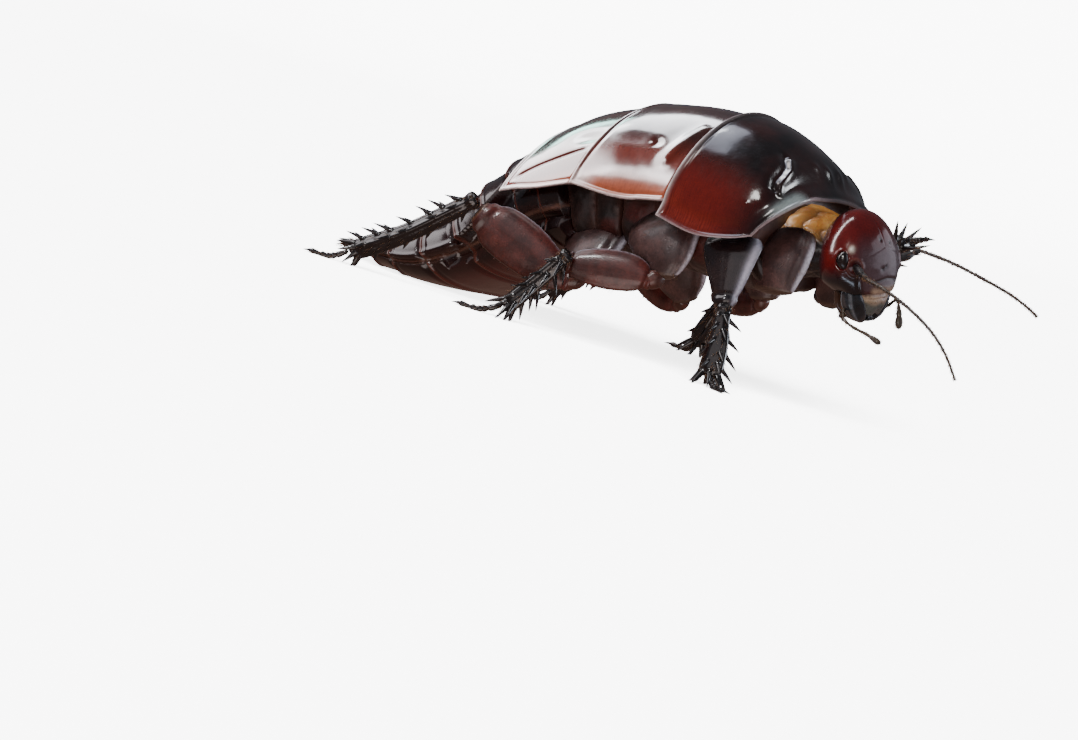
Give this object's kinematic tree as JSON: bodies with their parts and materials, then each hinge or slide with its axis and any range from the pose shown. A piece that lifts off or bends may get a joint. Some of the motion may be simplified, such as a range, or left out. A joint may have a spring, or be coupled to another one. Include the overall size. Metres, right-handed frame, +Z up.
{
  "type": "rhinoceros cockroach",
  "caption": "Life-size museum model of a wingless burrowing cockroach with a domed hood-like back plate, spiny digging legs, feelers and ringed abdomen.",
  "frame": {"origin": "on the floor under the middle of the whole model's box", "axes": "+X the way the head points, along the body's length; +Y the insect's left; +Z up from the floor"},
  "size_m": [0.0918, 0.0486, 0.0333],
  "materials": {
    "back_plate_chitin": "polished mahogany-black chitin, clear-coated look, fine pits",
    "side_plate_chitin": "satin red-brown chitin of the sides, creased",
    "abdomen_shell": "glossy black-brown rings with paler hind rims",
    "head_chitin": "polished maroon chitin, mauve-grey towards the face",
    "lip_chitin": "satin pale tan lip plate",
    "jaw_chitin": "blue-black horn, slightly glossy",
    "eye_facets": "black, very fine facets, glossy",
    "feeler_chitin": "grey-brown ringed feelers, satin",
    "neck_membrane": "soft orange-tan folded membrane, satin",
    "leg_base_chitin": "satin brown-mauve chitin",
    "thigh_chitin": "glossy red-brown chitin",
    "shin_chitin": "glossy black chitin with short spines"
  },
  "bodies": {
    "root": {"abdomen_1": "abdomen_shell", "abdomen_2": "abdomen_shell", "abdomen_3": "abdomen_shell", "abdomen_4": "abdomen_shell", "abdomen_5": "abdomen_shell", "abdomen_6": "abdomen_shell", "abdomen_7": "abdomen_shell", "antenna_left": "feeler_chitin", "antenna_right": "feeler_chitin", "cercus_left": "abdomen_shell", "cercus_right": "abdomen_shell", "coxa_fore_left": "leg_base_chitin", "coxa_fore_right": "leg_base_chitin", "coxa_hind_left": "leg_base_chitin", "coxa_hind_right": "leg_base_chitin", "coxa_mid_left": "leg_base_chitin", "coxa_mid_right": "leg_base_chitin", "eye_left": "eye_facets", "eye_right": "eye_facets", "femur_fore_left": "thigh_chitin", "femur_fore_right": "thigh_chitin", "femur_hind_left": "thigh_chitin", "femur_hind_right": "thigh_chitin", "femur_mid_left": "thigh_chitin", "femur_mid_right": "thigh_chitin", "head": "head_chitin", "labium": "jaw_chitin", "labrum": "lip_chitin", "mandible_left": "jaw_chitin", "mandible_right": "jaw_chitin", "maxillary_palp_left": "feeler_chitin", "maxillary_palp_right": "feeler_chitin", "mesonotum": "back_plate_chitin", "mesothorax": "side_plate_chitin", "metanotum": "back_plate_chitin", "metathorax": "side_plate_chitin", "neck": "neck_membrane", "pronotum": "back_plate_chitin", "prothorax": "side_plate_chitin", "supra_anal_plate": "abdomen_shell", "tarsus_fore_left": "shin_chitin", "tarsus_fore_right": "shin_chitin", "tarsus_hind_left": "shin_chitin", "tarsus_hind_right": "shin_chitin", "tarsus_mid_left": "shin_chitin", "tarsus_mid_right": "shin_chitin", "tibia_fore_left": "shin_chitin", "tibia_fore_right": "shin_chitin", "tibia_hind_left": "shin_chitin", "tibia_hind_right": "shin_chitin", "tibia_mid_left": "shin_chitin", "tibia_mid_right": "shin_chitin"}
  },
  "joints": []
}
